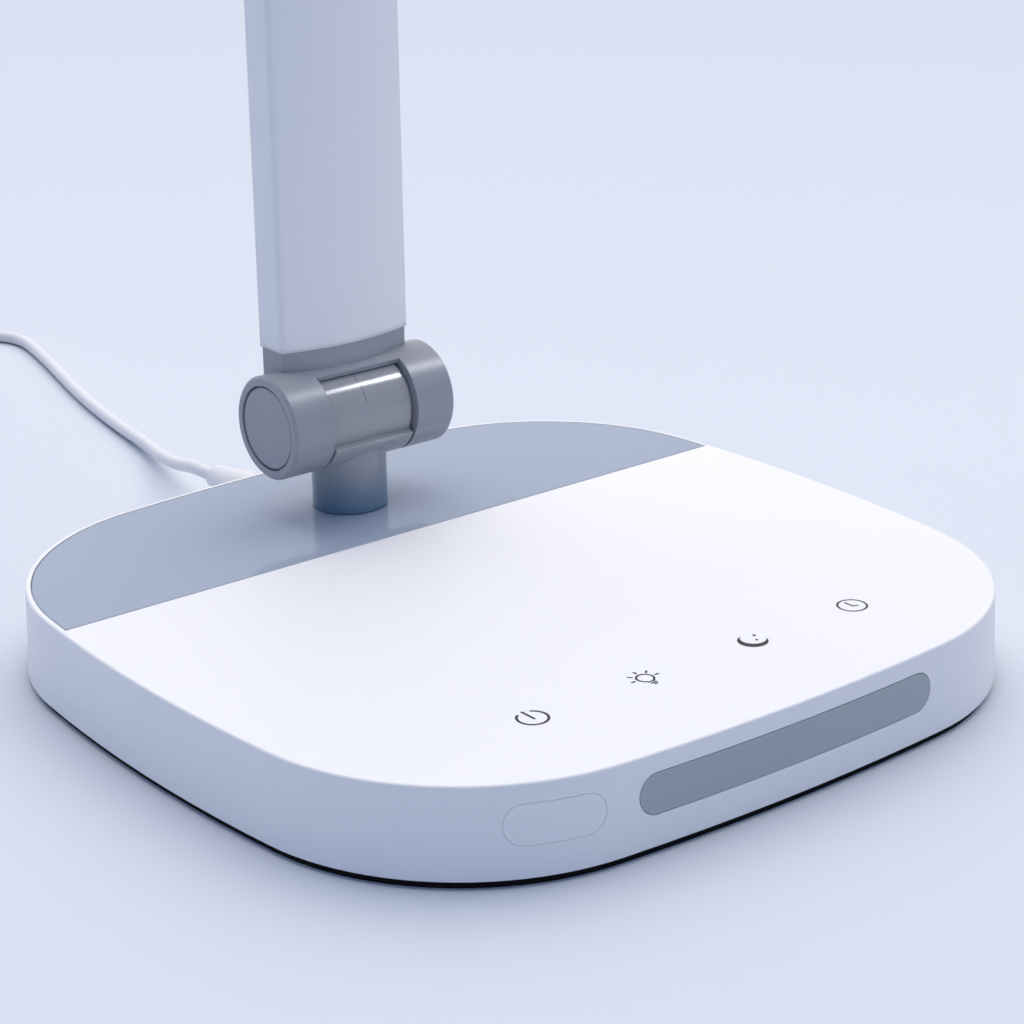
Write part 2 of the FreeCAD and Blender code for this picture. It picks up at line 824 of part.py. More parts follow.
def arm_screws():
    screws = []
    for z in (arm_bottom + arm_screw_rise, arm_top - arm_screw_rise):
        for x in (-arm_screw_x, arm_screw_x):
            screws.append(screw(V(x, arm_back(x) - seat, z), -along_y, screw_length - seam))
    return group(screws)


# Lamp head

def head_section(inset, y):
    half = head_width / 2 - inset
    radius = ((head_width / 2) ** 2 + head_crown ** 2) / (2 * head_crown)
    centre = head_under + head_side + head_crown - radius
    low = head_under + inset
    side = centre + math.sqrt((radius - inset) ** 2 - half ** 2)
    return Part.Wire([
        line(V(-half, y, low), V(half, y, low)),
        line(V(half, y, low), V(half, y, side)),
        arc(V(half, y, side), V(0, y, centre + radius - inset), V(-half, y, side)),
        line(V(-half, y, side), V(-half, y, low)),
    ])


def head_bar(inset, y0, y1):
    bar = prism(head_section(inset, y0), V(0, y1 - y0, 0))
    lengthwise = [e for e in bar.Edges if abs(e.tangentAt(e.FirstParameter).y) > 0.5]
    return bar.makeFillet(head_edge, lengthwise)


def head_plan(inset, root, z0, z1):
    # Plan of the head with rounded corners at its tip.
    plate = box(inset - head_width / 2, head_width / 2 - inset, head_tip + inset, root, z0, z1)
    upright = [e for e in plate.Edges if abs(e.tangentAt(e.FirstParameter).z) > 0.5]
    corners = [e for e in upright if e.CenterOfMass.y < head_tip + inset + over]
    return plate.makeFillet(head_corner - inset, corners)


def chamber_root():
    return shell_root - head_socket - ledge


def head_shell():
    top = head_under + head_side + head_crown
    shell = head_bar(0, shell_root, head_tip).common(head_plan(0, shell_root, head_under, top))
    recess = head_plan(bezel, chamber_root() + ledge - bezel, head_under, head_under + diffuser)
    chamber = head_plan(bezel + ledge, chamber_root() - ledge, head_under, head_under + chamber_height)
    socket = box(-head_socket_half, head_socket_half, shell_root - head_socket, shell_root,
                 head_under + head_socket_floor, head_under + head_socket_floor + head_socket_height)
    screw_holes = [head_screw_hole(x) for x in (-head_screw_x, head_screw_x)]
    return shell.cut([recess, chamber, socket] + screw_holes)


def head_screw_hole(x):
    y = shell_root - head_socket / 2
    cone = Part.makeCone(screw_head + seat, screw_radius, screw_head_height, V(x, y, head_under), along_z)
    return joined([cone, rod_z(screw_radius, x, y, head_under, head_under + head_screw_length + seam)])


def head_screws():
    y = shell_root - head_socket / 2
    heads = [V(x, y, head_under + seat) for x in (-head_screw_x, head_screw_x)]
    return group([screw(head, along_z, head_screw_length) for head in heads])


def head_neck():
    # Crossbar between the ears, tongue out of the barrel, collar against the shell and tenon inside it.
    half = crossbar_half - seat
    tongue = box(-half, half, head_root, neck_y, head_under, head_z + barrel_radius)
    collar = head_bar(collar_inset, head_root, shell_root)
    low = head_under + head_socket_floor + seam
    tenon_half = head_socket_half - seam
    tenon_end = shell_root - head_socket + seam
    tenon = box(-tenon_half, tenon_half, tenon_end, shell_root, low, low + head_socket_height - 2 * seam)
    body = joined(crossbar(head_z, tongue_front(), tongue_back) + [tongue, collar, tenon])
    middle = head_under + head_socket_floor + head_socket_height / 2
    wires_end = V(0, neck_y - shaft_radius, middle)
    wires = rod(head_socket_height / 3, V(0, shell_root - head_socket, middle), wires_end)
    cuts = [wires, rod_x(shaft_radius + running_gap, -barrel_half, barrel_half, head_z)]
    return body.cut(cuts + [head_screw_hole(x) for x in (-head_screw_x, head_screw_x)])


def head_diffuser():
    root = chamber_root() + ledge - bezel - seam
    return head_plan(bezel + seam, root, head_under, head_under + diffuser - seat)


def led_board():
    top = head_under + chamber_height
    inset = bezel + ledge + seam
    return head_plan(inset, chamber_root() - ledge - seam, top - led_board_thickness, top)


def head_leds():
    top = head_under + chamber_height - led_board_thickness
    start = chamber_root() - ledge - led_margin
    step = (start - head_tip - bezel - ledge - led_margin) / (led_columns - 1)
    across = (head_width - 2 * (bezel + ledge)) / led_rows
    half = led_side / 2
    leds = []
    for row in range(led_rows):
        x = across * (row - (led_rows - 1) / 2)
        for column in range(led_columns):
            y = start - step * column
            leds.append(box(x - half, x + half, y - half, y + half, top - led_height, top))
    return group(leds)


# Power plug and cord

def dc_plug():
    face = base_depth / 2 + wall_draft + seam
    step = plug_radius / 6
    profile = [V(0, face, plug_z), V(0, face, plug_z + plug_radius - step),
               V(0, face + step, plug_z + plug_radius), V(0, face + plug_straight, plug_z + plug_radius),
               V(0, plug_tail, plug_z + plug_tail_radius), V(0, plug_tail, plug_z)]
    body = Part.Face(Part.makePolygon(profile + profile[:1])).revolve(V(0, 0, plug_z), along_y, 360)
    back = base_depth / 2 - wall - seam
    return joined([body, rod(barrel_pin, V(0, back - barrel_length, plug_z), V(0, face, plug_z))])


def coil_end(angle, radius):
    turn = math.radians(angle)
    return V(math.cos(turn), math.sin(turn), 0) * radius


def heading():
    turn = math.radians(coil_heading)
    return V(-math.sin(turn), math.cos(turn), 0)


# The cord's route from the plug to the coil, chosen by hand: down to the desk and back along it.
cord_route = [
    V(0.0, plug_tail, plug_z),
    V(0.0, plug_tail + 10.0, plug_z),
    V(2.4, plug_tail + 23.0, 8.4),
    V(8.4, plug_tail + 41.0, 4.5),
    V(13.6, plug_tail + 58.0, 2.6),
    V(17.2, plug_tail + 80.0, lie_z),
    V(22.6, plug_tail + 108.0, lie_z),
    V(31.0, plug_tail + 139.0, lie_z),
    V(35.4, plug_tail + 157.0, lie_z),
    V(38.0, plug_tail + 170.5, lie_z),
    V(35.6, plug_tail + 179.0, lie_z),
    V(27.4, plug_tail + 186.6, lie_z + 0.3),
    V(15.8, plug_tail + 194.4, coil_z),
]
cord_route.append(cord_route[-1] + heading() * last_run)


def rounded_path(points):
    # Straight runs joined by arcs as large as the runs allow.
    edges = []
    start = points[0]
    radii = []
    for before, here, after in zip(points, points[1:], points[2:]):
        back, on = before - here, after - here
        turn = math.pi - back.getAngle(on)
        trim = bend_share * min(back.Length, on.Length)
        radius = trim / math.tan(turn / 2)
        radii.append(radius)
        back.normalize()
        on.normalize()
        enter, leave = here + back * trim, here + on * trim
        inward = (back + on).normalize()
        middle = here + inward * (radius / math.cos(turn / 2) - radius)
        edges += [line(start, enter), arc(enter, middle, leave)]
        start = leave
    edges.append(line(start, points[-1]))
    return Part.Wire(edges), radii


def tube(path, start, direction):
    # The cord has flat sides; its section is as large as the round one, and a flat side lies on the desk.
    out = along_z.cross(direction).normalize()
    up = direction.cross(out).normalize()
    radius = cord_radius / math.cos(math.pi / cord_sides)
    corners = []
    for i in range(cord_sides + 1):
        turn = 2 * math.pi * (i + 0.5) / cord_sides
        corners.append(start + (out * math.cos(turn) + up * math.sin(turn)) * radius)
    return path.makePipeShell([Part.makePolygon(corners)], True, False)


def cord_section():
    return cord_sides * cord_radius ** 2 * math.tan(math.pi / cord_sides)


def cord_run():
    path, radii = rounded_path(cord_route)
    shape = tube(path, cord_route[0], cord_route[1] - cord_route[0])
    print("cord radii", [round(r, 1) for r in radii])
    print("cord run length %.1f, volume over section times length %.4f"
          % (path.Length, shape.Volume / (cord_section() * path.Length)))
    return shape


def coil_centre():
    last = cord_route[-1] + heading() * (2 * cord_radius)
    return last - coil_end(coil_heading, coil_outer())


def coil_outer():
    return coil_radius + coil_pitch * coil_turns / 4


def coil_point(turns):
    # In to the middle and out again; the climb to the upper layer takes the half turn where it reverses.
    half = coil_turns / 2
    radius = coil_outer() - coil_pitch * (half - abs(half - turns))
    climb = min(max((turns - half) * 2 + 0.5, 0), 1)
    lift = coil_pitch * climb * climb * (3 - 2 * climb)
    return coil_centre() + coil_end(coil_heading + 360 * turns, radius) + V(0, 0, lift)


def coil_tangent(turns):
    step = 0.02
    after, before = min(turns + step, coil_turns), max(turns - step, 0)
    return (coil_point(after) - coil_point(before)).normalize()


def biarc(p, p_dir, q, q_dir):
    # Two arcs from p to q that meet the given directions.
    gap, both = q - p, p_dir + q_dir
    share = 2 * (1 - p_dir.dot(q_dir))
    if share < 1e-9:
        reach = gap.dot(gap) / (4 * gap.dot(q_dir))
    else:
        reach = (math.sqrt(gap.dot(both) ** 2 + share * gap.dot(gap)) - gap.dot(both)) / share
    first, second = p + p_dir * reach, q - q_dir * reach
    meet = (first + second) / 2
    return [tangent_arc(p, first, meet), tangent_arc(meet, second, q)]


def tangent_arc(p, apex, q):
    middle = (p + q) / 2
    rise = apex - middle
    half = (q - p).Length / 2
    if rise.Length < 1e-6:
        return line(p, q)
    sagitta = half * math.tan(math.atan2(rise.Length, half) / 2)
    return arc(p, middle + rise.normalize() * sagitta, q)


def tail_direction():
    turn = math.radians(coil_heading + 360 * coil_turns)
    return V(-math.sin(turn), math.cos(turn), 0)


def tail_end():
    end = coil_point(coil_turns) + tail_direction() * tail_length
    return V(end.x, end.y, usb_body[2] / 2)


def coil_path():
    lead = 2 * cord_radius
    edges = [line(cord_route[-1], cord_route[-1] + heading() * lead)]
    steps = round(coil_turns * 4)
    stops = [coil_turns * i / steps for i in range(steps + 1)]
    ways = [heading()] + [coil_tangent(t) for t in stops[1:-1]] + [tail_direction()]
    for a, b, a_dir, b_dir in zip(stops, stops[1:], ways, ways[1:]):
        edges += biarc(coil_point(a), a_dir, coil_point(b), b_dir)
    end = tail_end()
    edges += biarc(coil_point(coil_turns), tail_direction(), end, tail_direction())
    edges.append(line(end, end + tail_direction() * lead))
    return Part.Wire(edges)


def least_gap(path):
    points = path.discretize(Distance=2.0)
    far = round(6 * cord_radius)
    nearest = min((p - q).Length for i, p in enumerate(points) for q in points[i + far:])
    return nearest - 2 * cord_radius


def cord_coil():
    path = coil_path()
    shape = tube(path, cord_route[-1], heading())
    print("coil length %.1f, volume over section times length %.4f, least gap %.2f"
          % (path.Length, shape.Volume / (cord_section() * path.Length), least_gap(path)))
    return shape


def cord_tie():
    # Flat strap round both layers, standing on the desk.
    half_wide = coil_pitch * coil_turns / 4 + cord_radius + tie_gap
    high = 2 * cord_radius + coil_pitch + 2 * tie_gap
    outer = box(-half_wide - tie_thickness, half_wide + tie_thickness, -tie_width / 2, tie_width / 2,
                0, high + 2 * tie_thickness)
    lengthwise = [e for e in outer.Edges if abs(e.tangentAt(e.FirstParameter).y) > 0.5]
    outer = outer.makeFillet(cord_radius, lengthwise)
    hole = box(-half_wide, half_wide, -tie_width, tie_width, tie_thickness, tie_thickness + high)
    lengthwise = [e for e in hole.Edges if abs(e.tangentAt(e.FirstParameter).y) > 0.5]
    strap = outer.cut(hole.makeFillet(cord_radius - tie_thickness, lengthwise))
    strap.rotate(V(0, 0, 0), along_z, tie_turn)
    centre = coil_centre() + coil_end(tie_turn, coil_radius)
    strap.translate(V(centre.x, centre.y, 0))
    return strap


def along_tail(shape):
    # Turns a piece drawn along +X to lie along the cord's tail, from its end.
    end = tail_end() + tail_direction() * (2 * cord_radius)
    shape.rotate(V(0, 0, 0), along_z, math.degrees(math.atan2(tail_direction().y, tail_direction().x)))
    shape.translate(V(end.x, end.y, 0))
    return shape


def usb_plug_body():
    length, width, height = usb_body

    def frame(x, half, low):
        corners = ((-half, low), (half, low), (half, height - low), (-half, height - low), (-half, low))
        return Part.makePolygon([V(x, y, z) for y, z in corners])

    slim = frame(0, height / 2, height / 2 - cord_radius - usb_throat)
    throat = Part.makeLoft([slim, frame(usb_taper, width / 2 - usb_edge / 2, usb_edge / 2)], True, True)
    grip = box(usb_taper, length, -width / 2, width / 2, 0, height)
    lengthwise = [e for e in grip.Edges if abs(e.tangentAt(e.FirstParameter).x) > 0.5]
    grip = grip.makeFillet(usb_edge, lengthwise)
    shell_length, shell_width, shell_height = usb_shell
    half = shell_width / 2 - 2 * usb_sheet
    tongue_top = (height + shell_height) / 2 - usb_sheet - seat
    tongue = box(length, length + shell_length - usb_tongue_back, -half, half, height / 2, tongue_top)
    return along_tail(joined([grip, throat, tongue]))


def usb_plug_shell():
    length = usb_body[0]
    shell_length, width, height = usb_shell
    middle = usb_body[2] / 2
    end = length + shell_length

    def bar(inset):
        half, rise = width / 2 - inset, height / 2 - inset
        return box(length, end, -half, half, middle - rise, middle + rise)

    return along_tail(bar(0).cut(bar(usb_sheet)))


parts = {
    "base_shell": base_shell(),
    "rear_panel": rear_panel(),
    "bottom_cover": bottom_cover(),
    "antislip_pad": antislip_pad(),
    "base_screws": base_screws(),
    "ballast_plate": ballast_plate(),
    "touch_board": touch_board(),
    "touch_pads": touch_pads(),
    "driver_board": driver_board(),
    "driver_parts": driver_parts(),
    "dc_socket": dc_socket(),
    "night_light_lens": wall_piece(window_slot(-seam), window_slot(lens_lip)),
    "night_light_board": night_light_board(),
    "night_light_leds": night_light_leds(),
    "port_blank": wall_piece(port_slot(-seat), port_slot(lens_lip)),
    "swivel_bush": swivel_bush(),
    "swivel_washer": swivel_washer(),
    "swivel_nut": swivel_nut(),
    "neck": neck(),
    "lower_knuckle": lower_knuckle(),
    "upper_knuckle": upper_knuckle(),
    "arm_tube": arm_tube(),
    "arm_screws": arm_screws(),
    "head_neck": head_neck(),
    "head_shell": head_shell(),
    "head_diffuser": head_diffuser(),
    "led_board": led_board(),
    "head_leds": head_leds(),
    "head_screws": head_screws(),
    "dc_plug": dc_plug(),
    "cord_run": cord_run(),
    "cord_coil": cord_coil(),
    "cord_tie": cord_tie(),
    "usb_body": usb_plug_body(),
    "usb_shell": usb_plug_shell(),
}
for hinge, z in (("tilt", hinge_z), ("head", head_z)):
    parts[hinge + "_shaft"] = hinge_shaft(z)
    parts[hinge + "_washers"] = hinge_washers(z)
    parts[hinge + "_springs"] = hinge_springs(z)
    parts[hinge + "_nut"] = hinge_nut(z)
    parts[hinge + "_cap_left"] = hinge_cap(z, -1)
    parts[hinge + "_cap_right"] = hinge_cap(z, 1)

os.makedirs("parts", exist_ok=True)
for name, shape in parts.items():
    shape.exportStep("parts/%s.step" % name)
    print("%-18s %2d solids, valid %s, %9.1f mm3" % (name, len(shape.Solids), shape.isValid(), shape.Volume))
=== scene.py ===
import math

import bmesh
import bpy
from mathutils import Matrix, Vector


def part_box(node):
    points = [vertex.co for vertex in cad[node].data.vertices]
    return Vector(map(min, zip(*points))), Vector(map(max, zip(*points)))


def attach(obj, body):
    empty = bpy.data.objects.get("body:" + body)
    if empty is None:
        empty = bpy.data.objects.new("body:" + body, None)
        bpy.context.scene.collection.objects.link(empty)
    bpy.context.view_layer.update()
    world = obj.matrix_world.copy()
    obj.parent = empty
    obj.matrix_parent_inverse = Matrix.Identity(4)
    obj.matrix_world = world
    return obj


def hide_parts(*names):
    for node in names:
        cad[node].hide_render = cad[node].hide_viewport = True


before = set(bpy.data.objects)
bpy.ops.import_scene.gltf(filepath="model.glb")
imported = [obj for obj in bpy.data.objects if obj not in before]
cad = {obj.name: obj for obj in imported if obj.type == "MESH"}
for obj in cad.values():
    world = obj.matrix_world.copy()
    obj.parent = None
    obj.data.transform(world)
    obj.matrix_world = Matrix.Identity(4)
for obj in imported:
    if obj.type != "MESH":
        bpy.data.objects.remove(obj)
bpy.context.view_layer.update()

scene = bpy.context.scene
mm = 0.001
print("frame loaded:", len(cad), "solids")

# the camera stands where the photograph was taken from: mm from the middle of the base's underside,
# turns in degrees, and the nearest and farthest that it sees in metres
cameraSet = {"lens": 94.68, "place": (-346.2, -438.5, 244.4), "yaw": -38.43, "pitch": 20.46, "roll": -0.776,
             "near": 0.02, "far": 30.0}


def makeCamera():
    yaw, pitch, roll = (math.radians(cameraSet[k]) for k in ("yaw", "pitch", "roll"))
    ahead = Vector((-math.sin(yaw) * math.cos(pitch), math.cos(yaw) * math.cos(pitch), -math.sin(pitch)))
    level = Vector((math.cos(yaw), math.sin(yaw), 0))
    over = level.cross(ahead)
    right = level * math.cos(roll) + over * math.sin(roll)
    up = over * math.cos(roll) - level * math.sin(roll)
    data = bpy.data.cameras.new("photoCamera")
    data.lens = cameraSet["lens"]
    data.clip_start = cameraSet["near"]
    data.clip_end = cameraSet["far"]
    camera = bpy.data.objects.new("photoCamera", data)
    turn = Matrix((right, up, -ahead)).transposed().to_4x4()
    camera.matrix_world = Matrix.Translation(Vector(cameraSet["place"]) * mm) @ turn
    scene.collection.objects.link(camera)
    scene.camera = camera


makeCamera()
print("camera placed")

# low-voltage lead, in mm: out of the plug, down to the desk, back along it, and the spare length in a coil
cordSet = {"diameter": 3.5, "length": 1495.0, "exit": (0.0, 120.0, 11.7), "roundSteps": 4, "spanSteps": 5}
cordRoute = [
    cordSet["exit"], (0.0, 130.0, 11.7), (2.4, 143.0, 8.4), (8.4, 161.0, 4.5), (13.6, 178.0, 2.6),
    (17.2, 200.0, 1.8), (22.6, 228.0, 1.8), (31.0, 259.0, 1.8), (35.4, 277.0, 1.8), (38.0, 290.5, 1.8),
    (35.6, 299.0, 1.8), (27.4, 306.6, 2.1), (15.8, 314.4, 2.65),
]
# two layers of turns, met at the heading in degrees; middle is the mean radius of the turns
coilSet = {"turns": 10.25, "middle": 19.3, "pitch": 4.2, "heading": 63.0, "approach": 13.0, "lead": 3.5,
           "perTurn": 16, "climbTurns": 0.5}
tailSteps = [(5.0, 6.85), (10.0, 5.5), (15.0, 4.1), (20.0, 4.1), (23.5, 4.1)]     # along the tail, its height


def roundCoil(degrees, radius):
    turn = math.radians(degrees)
    return Vector((math.cos(turn), math.sin(turn), 0)) * radius


def coilPoints():
    # in to the middle of the lower layer, up in the half turn where it reverses, and out again
    heading, turns, pitch = coilSet["heading"], coilSet["turns"], coilSet["pitch"]
    half = turns / 2
    outer = coilSet["middle"] + pitch * half / 2
    meeting = Vector(cordRoute[-1]) + roundCoil(heading + 90, coilSet["approach"])
    start = meeting + roundCoil(heading + 90, coilSet["lead"])
    centre = start - roundCoil(heading, outer)
    reach = 1 / math.cos(math.pi / coilSet["perTurn"])     # the spline passes inside its points
    steps = round(turns * coilSet["perTurn"])
    points = [meeting]
    for i in range(steps + 1):
        t = turns * i / steps
        radius = (outer - pitch * (half - abs(half - t))) * reach
        climb = min(max((t - half) / coilSet["climbTurns"] + 0.5, 0), 1)
        lift = pitch * climb * climb * (3 - 2 * climb)     # eased at both ends
        points.append(centre + roundCoil(heading + 360 * t, radius) + Vector((0, 0, lift)))
    last = heading + 360 * turns
    end = centre + roundCoil(last, outer)
    for along, height in tailSteps:
        spot = end + roundCoil(last + 90, along)
        points.append(Vector((spot.x, spot.y, height)))
    return points


def makeCord():
    data = bpy.data.curves.new("powerCord", "CURVE")
    data.dimensions = "3D"
    data.bevel_depth = 1.0     # times the radius at each point
    data.bevel_resolution = cordSet["roundSteps"]
    data.resolution_u = cordSet["spanSteps"]
    data.use_fill_caps = True
    points = [Vector(p) for p in cordRoute] + coilPoints()
    spline = data.splines.new("NURBS")
    spline.points.add(len(points) - 1)
    for slot, point in zip(spline.points, points):
        slot.co = (*(point * mm), 1.0)
        slot.radius = cordSet["diameter"] / 2 * mm
    spline.order_u = 3
    spline.use_endpoint_u = True
    cord = bpy.data.objects.new("powerCord", data)
    scene.collection.objects.link(cord)
    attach(cord, "base")
    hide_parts("cord_run", "cord_coil")
    return cord


powerCord = makeCord()
print("cord laid:", len(powerCord.data.splines[0].points), "points")


def linear(code):
    # sRGB hex to the linear colour that the shaders take
    channels = [int(code[i:i + 2], 16) / 255 for i in (1, 3, 5)]
    return (*[c / 12.92 if c <= 0.04045 else ((c + 0.055) / 1.055) ** 2.4 for c in channels], 1.0)


def addNode(tree, kind, inputs, **settings):
    node = tree.nodes.new(kind)
    for name, value in settings.items():
        setattr(node, name, value)
    for name, value in inputs.items():
        socket = node.inputs[name]
        if isinstance(value, bpy.types.NodeSocket):
            tree.links.new(value, socket)
        else:
            socket.default_value = value
    return node


# the colour sockets of a Mix node go by number: its share, its two colours, and what comes out
mixShare, mixFirst, mixSecond, mixResult = 0, 6, 7, 2
# the same for all finishes: levels of the noise, the stretch of it that sets the gloss,
# the relief's depth as a share of the grain's width, and how finely an edge is rounded
finishSet = {"patchDetail": 3.0, "grainDetail": 2.0, "grainLow": 0.3, "grainHigh": 0.7, "depthShare": 0.1,
             "edgeSamples": 6}


def makeFinish(name, look):
    # two close tones in soft patches, gloss that varies a little, and a fine relief, all by sizes in mm;
    # an edge is rounded to the eye by its radius in mm, and a painted shade fades in along a direction
    material = bpy.data.materials.new(name)
    material.use_nodes = True
    tree = material.node_tree
    shader = tree.nodes["Principled BSDF"]
    place = addNode(tree, "ShaderNodeTexCoord", {}).outputs["Object"]
    patches = addNode(tree, "ShaderNodeTexNoise", {
        "Vector": place, "Scale": 1 / (look["patch"] * mm), "Detail": finishSet["patchDetail"]})
    tones = addNode(tree, "ShaderNodeMix", {
        mixShare: patches.outputs["Fac"], mixFirst: linear(look["tone"]), mixSecond: linear(look["other"])},
        data_type="RGBA")
    if "paintedShade" in look:
        paintedShade = look["paintedShade"]
        along = addNode(tree, "ShaderNodeVectorMath", {0: place, 1: paintedShade["along"]}, operation="DOT_PRODUCT")
        share = addNode(tree, "ShaderNodeMapRange", {
            "Value": along.outputs["Value"], "From Min": paintedShade["from"] * mm, "From Max": paintedShade["to"] * mm})
        tones = addNode(tree, "ShaderNodeMix", {
            mixShare: share.outputs["Result"], mixFirst: tones.outputs[mixResult],
            mixSecond: linear(paintedShade["tone"])}, data_type="RGBA")
    tree.links.new(tones.outputs[mixResult], shader.inputs["Base Color"])
    grain = addNode(tree, "ShaderNodeTexNoise", {
        "Vector": place, "Scale": 1 / (look["grain"] * mm), "Detail": finishSet["grainDetail"]})
    gloss = addNode(tree, "ShaderNodeMapRange", {
        "Value": grain.outputs["Fac"], "From Min": finishSet["grainLow"], "From Max": finishSet["grainHigh"],
        "To Min": look["rough"][0], "To Max": look["rough"][1]})
    tree.links.new(gloss.outputs["Result"], shader.inputs["Roughness"])
    relief = addNode(tree, "ShaderNodeBump", {
        "Height": grain.outputs["Fac"], "Strength": look["relief"],
        "Distance": look["grain"] * mm * finishSet["depthShare"]})
    if "edge" in look:
        edge = addNode(tree, "ShaderNodeBevel", {"Radius": look["edge"] * mm},
                       samples=finishSet["edgeSamples"])
        tree.links.new(edge.outputs["Normal"], relief.inputs["Normal"])
    tree.links.new(relief.outputs["Normal"], shader.inputs["Normal"])
    for socket, value in look["sockets"].items():
        shader.inputs[socket].default_value = value
    return material


# white ABS, moulded in a finely spark-eroded tool: a close satin that spreads the light evenly
# the real grit of 0.05 mm is too fine to show, so it is drawn at 0.6 mm
satinWhiteAbs = makeFinish("satinWhiteAbs", {
    "tone": "#eeeeee", "other": "#ebebec", "patch": 60, "grain": 0.6, "rough": (0.36, 0.46), "relief": 0.08,
    "edge": 0.2, "sockets": {"IOR": 1.54}})
# white powder coat on extruded aluminium: smooth, with a faint orange peel about 2 mm wide
powderWhite = makeFinish("powderWhite", {
    "tone": "#ededee", "other": "#e9eaec", "patch": 80, "grain": 2.0, "rough": (0.3, 0.38), "relief": 0.05,
    "edge": 2.4, "sockets": {"IOR": 1.5}})
# grey ABS, moulded in a satin tool: an even grey with soft wide highlights
# its grit is drawn as coarse as the white one's
satinGreyAbs = makeFinish("satinGreyAbs", {
    "tone": "#9a9da3", "other": "#979aa1", "patch": 30, "grain": 0.6, "rough": (0.32, 0.4), "relief": 0.08,
    "edge": 0.2, "sockets": {"IOR": 1.54}})
# grey ABS, moulded in a polished tool: tighter highlights than the ears beside it
# its faint waves are about 0.9 mm wide, and from 34 mm above the desk down to 22 mm the post turns darker and
# bluer:
# painted shade under the barrel, with a painted reflection of the blue panel
polishedGreyAbs = makeFinish("polishedGreyAbs", {
    "tone": "#a2a3a6", "other": "#9fa0a4", "patch": 30, "grain": 0.9, "rough": (0.12, 0.17), "relief": 0.03,
    "edge": 0.5, "paintedShade": {"along": (0, 0, -1), "from": -34, "to": -22, "tone": "#69869a"},
    "sockets": {"IOR": 1.54}})
# the mould's halves met on the front of the lower crossbar; places in mm
partingSet = {"x": -1.2, "width": 0.32, "z": 52.4, "height": 6.4, "tone": "#828489"}


def addParting(material):
    tree = material.node_tree
    shader = tree.nodes["Principled BSDF"]
    tone = shader.inputs["Base Color"].links[0].from_socket
    place = addNode(tree, "ShaderNodeTexCoord", {}).outputs["Object"]
    axes = addNode(tree, "ShaderNodeSeparateXYZ", {"Vector": place})
    across = addNode(tree, "ShaderNodeMath", {
        0: axes.outputs["X"], 1: partingSet["x"] * mm, 2: partingSet["width"] * mm / 2}, operation="COMPARE")
    high = addNode(tree, "ShaderNodeMath", {
        0: axes.outputs["Z"], 1: partingSet["z"] * mm, 2: partingSet["height"] * mm / 2}, operation="COMPARE")
    line = addNode(tree, "ShaderNodeMath", {
        0: across.outputs["Value"], 1: high.outputs["Value"]}, operation="MULTIPLY")
    both = addNode(tree, "ShaderNodeMix", {
        mixShare: line.outputs["Value"], mixFirst: tone, mixSecond: linear(partingSet["tone"])},
        data_type="RGBA")
    tree.links.new(both.outputs[mixResult], shader.inputs["Base Color"])


addParting(polishedGreyAbs)
# blue-grey acrylic sheet with a polished face: mirrors the post and the room, with slow waves about 3 mm wide
polishedAcrylic = makeFinish("polishedAcrylic", {
    "tone": "#9faabb", "other": "#9ca7b9", "patch": 50, "grain": 3.0, "rough": (0.04, 0.07), "relief": 0.01,
    "sockets": {"IOR": 1.56}})
# grey polycarbonate window, moulded with a frosted face: dull and even, with a little depth
# the frost is finer than a pixel, so it is drawn at 0.5 mm
frostedPolycarbonate = makeFinish("frostedPolycarbonate", {
    "tone": "#a9afb3", "other": "#a5abb0", "patch": 25, "grain": 0.5, "rough": (0.42, 0.5), "relief": 0.08,
    "sockets": {"IOR": 1.585, "Subsurface Weight": 0.15, "Subsurface Radius": (0.002, 0.002, 0.002)}})
# black nitrile rubber, pressed against a matt plate: nearly no gloss, its grain drawn coarse at 0.7 mm
mattRubber = makeFinish("mattRubber", {
    "tone": "#0a0a0b", "other": "#0e0e0f", "patch": 8, "grain": 0.7, "rough": (0.75, 0.9), "relief": 0.2,
    "sockets": {"IOR": 1.52, "Specular IOR Level": 0.2}})
# soft white PVC, extruded over the wires: a waxy low gloss with a ripple about 0.8 mm long
extrudedPvc = makeFinish("extrudedPvc", {
    "tone": "#dfdfe2", "other": "#dadade", "patch": 15, "grain": 0.8, "rough": (0.3, 0.42), "relief": 0.08,
    "sockets": {"IOR": 1.53, "Subsurface Weight": 0.1, "Subsurface Radius": (0.001, 0.001, 0.001)}})
# opal acrylic diffuser, moulded: milky and glossy, with flow waves about 1.5 mm wide
opalAcrylic = makeFinish("opalAcrylic", {
    "tone": "#f1f1ee", "other": "#eeeeeb", "patch": 40, "grain": 1.5, "rough": (0.18, 0.26), "relief": 0.03,
    "sockets": {"IOR": 1.49, "Subsurface Weight": 0.3, "Subsurface Radius": (0.003, 0.003, 0.003)}})
# zinc-plated steel, tumbled: grey with a soft shine, broken by dents about 0.5 mm wide
zincSteel = makeFinish("zincSteel", {
    "tone": "#b9bbc0", "other": "#a6a8ae", "patch": 2, "grain": 0.5, "rough": (0.28, 0.42), "relief": 0.15,
    "sockets": {"Metallic": 1.0}})
# mild steel plate as rolled: dark and blotchy, with scale about 0.8 mm wide
rolledSteel = makeFinish("rolledSteel", {
    "tone": "#6b6c70", "other": "#505155", "patch": 12, "grain": 0.8, "rough": (0.4, 0.6), "relief": 0.2,
    "sockets": {"Metallic": 1.0}})
# nickel-plated sheet, pressed: bright, with shallow waves about 1.5 mm wide
nickelSheet = makeFinish("nickelSheet", {
    "tone": "#cfcdc8", "other": "#c4c2bd", "patch": 6, "grain": 1.5, "rough": (0.16, 0.24), "relief": 0.06,
    "sockets": {"Metallic": 1.0}})
# aluminium-core board with white solder mask, printed on: an even satin with a peel about 0.6 mm wide
maskedAluminium = makeFinish("maskedAluminium", {
    "tone": "#e6e7e6", "other": "#dfe0df", "patch": 10, "grain": 0.6, "rough": (0.35, 0.45), "relief": 0.08,
    "sockets": {"IOR": 1.5}})
